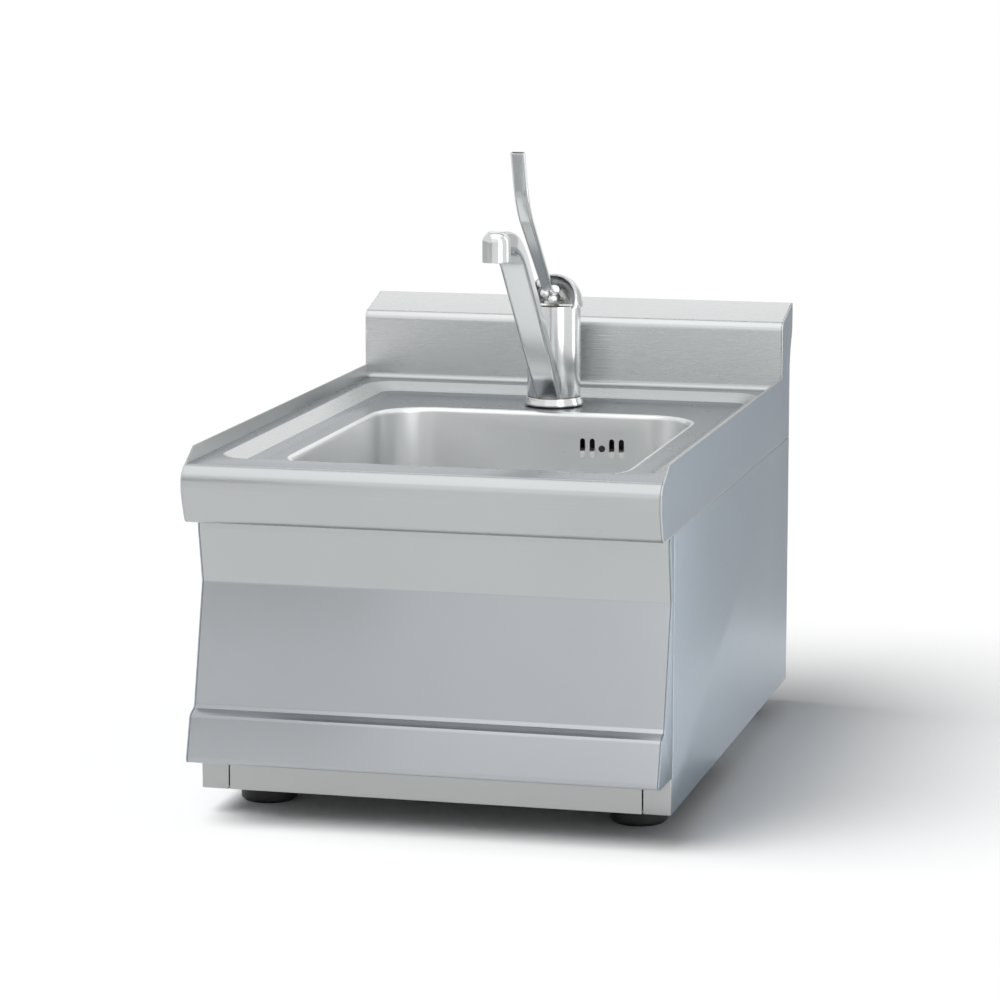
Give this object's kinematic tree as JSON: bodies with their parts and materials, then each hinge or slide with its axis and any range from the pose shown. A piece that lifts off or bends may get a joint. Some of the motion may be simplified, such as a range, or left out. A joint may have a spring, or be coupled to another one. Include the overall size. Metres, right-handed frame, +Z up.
{
  "type": "stainless steel hand wash sink",
  "caption": "Counter unit with a recessed worktop, a deep bowl with overflow, a hooded splashback, a folded front and a long-lever mixer tap, on levelling feet.",
  "frame": {"origin": "centre of the overall box on the floor, under the feet", "axes": "+X to the user's right, +Y to the back, +Z up; the front faces -Y"},
  "size_m": [0.4, 0.6, 0.5344],
  "materials": {
    "steel": "satin",
    "side_steel": "satin",
    "plain_steel": "plain",
    "chrome": "polished",
    "brass": "machined",
    "rubber": "matte",
    "pad_rubber": "matte",
    "black_plastic": "moulded",
    "white_plastic": "moulded"
  },
  "bodies": {
    "unit": {"worktop": "steel", "sink_bowl": "steel", "left_deck_rail": "plain_steel", "right_deck_rail": "plain_steel", "front_rail": "plain_steel", "left_side_panel": "side_steel", "right_side_panel": "side_steel", "base_panel": "steel", "rear_panel": "side_steel", "front_panel": "steel", "left_front_cheek": "steel", "right_front_cheek": "steel", "panel_screws": "plain_steel", "overflow_gasket": "rubber", "overflow_housing": "black_plastic", "overflow_insert": "white_plastic", "overflow_screw": "black_plastic", "overflow_pipe": "white_plastic", "waste_strainer": "chrome", "waste_seal": "rubber", "waste_body": "black_plastic", "waste_screw": "chrome", "waste_nut": "black_plastic", "waste_tail": "black_plastic", "tap_seal": "rubber", "tap_foot": "chrome", "tap_core": "brass", "tap_washer": "plain_steel", "tap_stud": "plain_steel", "tap_nut": "brass", "cartridge": "white_plastic", "cartridge_nut": "brass", "spout_o_rings": "rubber", "foot_plates": "plain_steel"},
    "spout": {"spout": "chrome", "aerator_ring": "chrome", "aerator": "white_plastic"},
    "hood": {"hood": "chrome"},
    "lever": {"lever_spindle": "plain_steel", "lever_hub": "chrome", "lever": "chrome"},
    "front_left_foot": {"front_left_pad": "pad_rubber", "front_left_stem": "plain_steel"},
    "front_right_foot": {"front_right_pad": "pad_rubber", "front_right_stem": "plain_steel"},
    "back_left_foot": {"back_left_pad": "pad_rubber", "back_left_stem": "plain_steel"},
    "back_right_foot": {"back_right_pad": "pad_rubber", "back_right_stem": "plain_steel"}
  },
  "joints": [
    {"name": "spout_swivel", "type": "hinge", "parent": "unit", "child": "spout", "pos_m": [0, 0.177, 0.341], "axis": [0, 0, 1], "range_deg": [-60, 60]},
    {"name": "lever_turn", "type": "hinge", "parent": "unit", "child": "hood", "pos_m": [0, 0.177, 0.389], "axis": [0, 0, 1], "range_deg": [-50, 50]},
    {"name": "lever_lift", "type": "hinge", "parent": "hood", "child": "lever", "pos_m": [0, 0.177, 0.389], "axis": [-1, 0, 0], "range_deg": [0, 25]},
    {"name": "front_left_foot_screw", "type": "slide", "parent": "unit", "child": "front_left_foot", "axis": [0, 0, -1], "range_m": [0, 0.015]},
    {"name": "front_right_foot_screw", "type": "slide", "parent": "unit", "child": "front_right_foot", "axis": [0, 0, -1], "range_m": [0, 0.015]},
    {"name": "back_left_foot_screw", "type": "slide", "parent": "unit", "child": "back_left_foot", "axis": [0, 0, -1], "range_m": [0, 0.015]},
    {"name": "back_right_foot_screw", "type": "slide", "parent": "unit", "child": "back_right_foot", "axis": [0, 0, -1], "range_m": [0, 0.015]}
  ]
}
